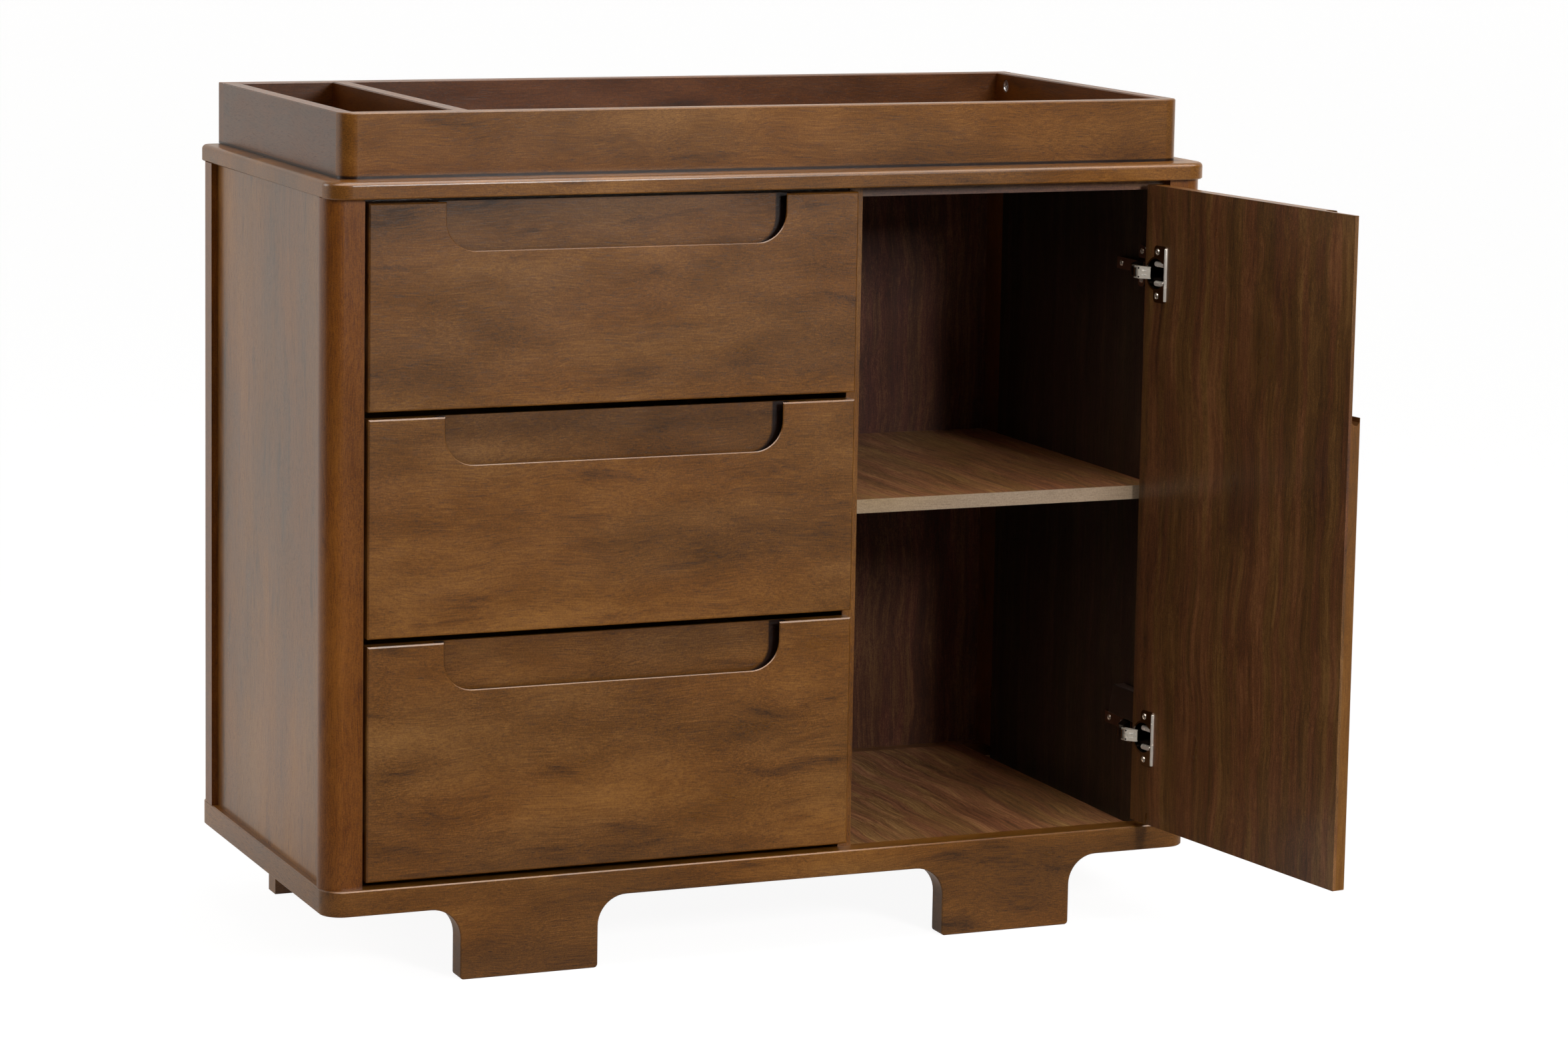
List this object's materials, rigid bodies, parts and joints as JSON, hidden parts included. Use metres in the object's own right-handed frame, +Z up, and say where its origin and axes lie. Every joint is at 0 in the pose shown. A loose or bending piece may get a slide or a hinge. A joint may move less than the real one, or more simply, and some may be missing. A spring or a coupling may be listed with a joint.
{
  "type": "changing table",
  "caption": "Changing table: dresser with graduated drawers, a shelved cabinet behind a hinged door, undercut finger pulls and a low changing tray on top.",
  "frame": {"origin": "on the floor, under the middle of the base's outline (1000 mm by 470 mm)", "axes": "+X to the right along the front, +Y to the back, +Z up; the front faces -Y"},
  "size_m": [1, 0.8218, 0.904],
  "materials": {
    "walnut_long": "satin",
    "walnut_upright": "satin",
    "walnut_deep": "satin",
    "shelf_board": "satin",
    "edge_band": "matte",
    "box_board": "matte",
    "bright_nickel": "polished",
    "zinc_steel": "satin",
    "black_plastic": "polished"
  },
  "bodies": {
    "carcass": {"top_board": "walnut_long", "front_base_rail": "walnut_long", "rear_base_rail": "walnut_long", "rear_feet": "walnut_long", "tray_front": "walnut_long", "tray_back": "walnut_long", "front_left_post": "walnut_upright", "front_right_post": "walnut_upright", "rear_left_post": "walnut_upright", "rear_right_post": "walnut_upright", "left_side_panel": "walnut_upright", "right_side_panel": "walnut_upright", "left_liner": "walnut_upright", "right_liner": "walnut_upright", "divider_panel": "walnut_upright", "back_panel": "walnut_upright", "left_base_rail": "walnut_deep", "right_base_rail": "walnut_deep", "tray_left": "walnut_deep", "tray_right": "walnut_deep", "tray_divider": "walnut_deep", "shelf": "shelf_board", "bottom_panel": "shelf_board", "shelf_edge_band": "edge_band", "floor_battens": "box_board", "top_stretchers": "walnut_long", "hinge_plates": "bright_nickel", "hinge_arms": "bright_nickel", "door_damper": "black_plastic", "cabinet_slide_members": "zinc_steel", "shelf_pins": "zinc_steel", "tray_cam_locks": "zinc_steel"},
    "door": {"door_panel": "walnut_upright", "hinge_cups": "bright_nickel"},
    "hinge_link_pair": {"hinge_links": "bright_nickel"},
    "top_drawer": {"top_drawer_front": "walnut_long", "top_drawer_left_side": "box_board", "top_drawer_right_side": "box_board", "top_drawer_back": "box_board", "top_drawer_bottom": "box_board", "top_drawer_slide_members": "zinc_steel"},
    "top_runner_pair": {"top_slide_runners": "zinc_steel"},
    "middle_drawer": {"middle_drawer_front": "walnut_long", "middle_drawer_left_side": "box_board", "middle_drawer_right_side": "box_board", "middle_drawer_back": "box_board", "middle_drawer_bottom": "box_board", "middle_drawer_slide_members": "zinc_steel"},
    "middle_runner_pair": {"middle_slide_runners": "zinc_steel"},
    "bottom_drawer": {"bottom_drawer_front": "walnut_long", "bottom_drawer_left_side": "box_board", "bottom_drawer_right_side": "box_board", "bottom_drawer_back": "box_board", "bottom_drawer_bottom": "box_board", "bottom_drawer_slide_members": "zinc_steel"},
    "bottom_runner_pair": {"bottom_slide_runners": "zinc_steel"}
  },
  "joints": [
    {"name": "door_swing", "type": "hinge", "parent": "carcass", "child": "door", "pos_m": [0.4474, -0.2315, 0.4625], "axis": [0, 0, 1], "range_deg": [-97.6, 7.4]},
    {"name": "hinge_link_fold", "type": "hinge", "parent": "carcass", "child": "hinge_link_pair", "pos_m": [0.4228, -0.2216, 0.4625], "axis": [0, 0, 1], "range_deg": [-6, 77]},
    {"name": "top_drawer_slide", "type": "slide", "parent": "carcass", "child": "top_drawer", "axis": [0, -1, 0], "range_m": [0, 0.38]},
    {"name": "top_runner_slide", "type": "slide", "parent": "carcass", "child": "top_runner_pair", "axis": [0, -1, 0], "range_m": [0, 0.19]},
    {"name": "middle_drawer_slide", "type": "slide", "parent": "carcass", "child": "middle_drawer", "axis": [0, -1, 0], "range_m": [0, 0.38]},
    {"name": "middle_runner_slide", "type": "slide", "parent": "carcass", "child": "middle_runner_pair", "axis": [0, -1, 0], "range_m": [0, 0.19]},
    {"name": "bottom_drawer_slide", "type": "slide", "parent": "carcass", "child": "bottom_drawer", "axis": [0, -1, 0], "range_m": [0, 0.38]},
    {"name": "bottom_runner_slide", "type": "slide", "parent": "carcass", "child": "bottom_runner_pair", "axis": [0, -1, 0], "range_m": [0, 0.19]}
  ],
  "couplings": [
    {"joint": "hinge_link_fold", "follows": "door_swing", "ratio": -0.787},
    {"joint": "top_runner_slide", "follows": "top_drawer_slide", "ratio": 0.5},
    {"joint": "middle_runner_slide", "follows": "middle_drawer_slide", "ratio": 0.5},
    {"joint": "bottom_runner_slide", "follows": "bottom_drawer_slide", "ratio": 0.5}
  ]
}
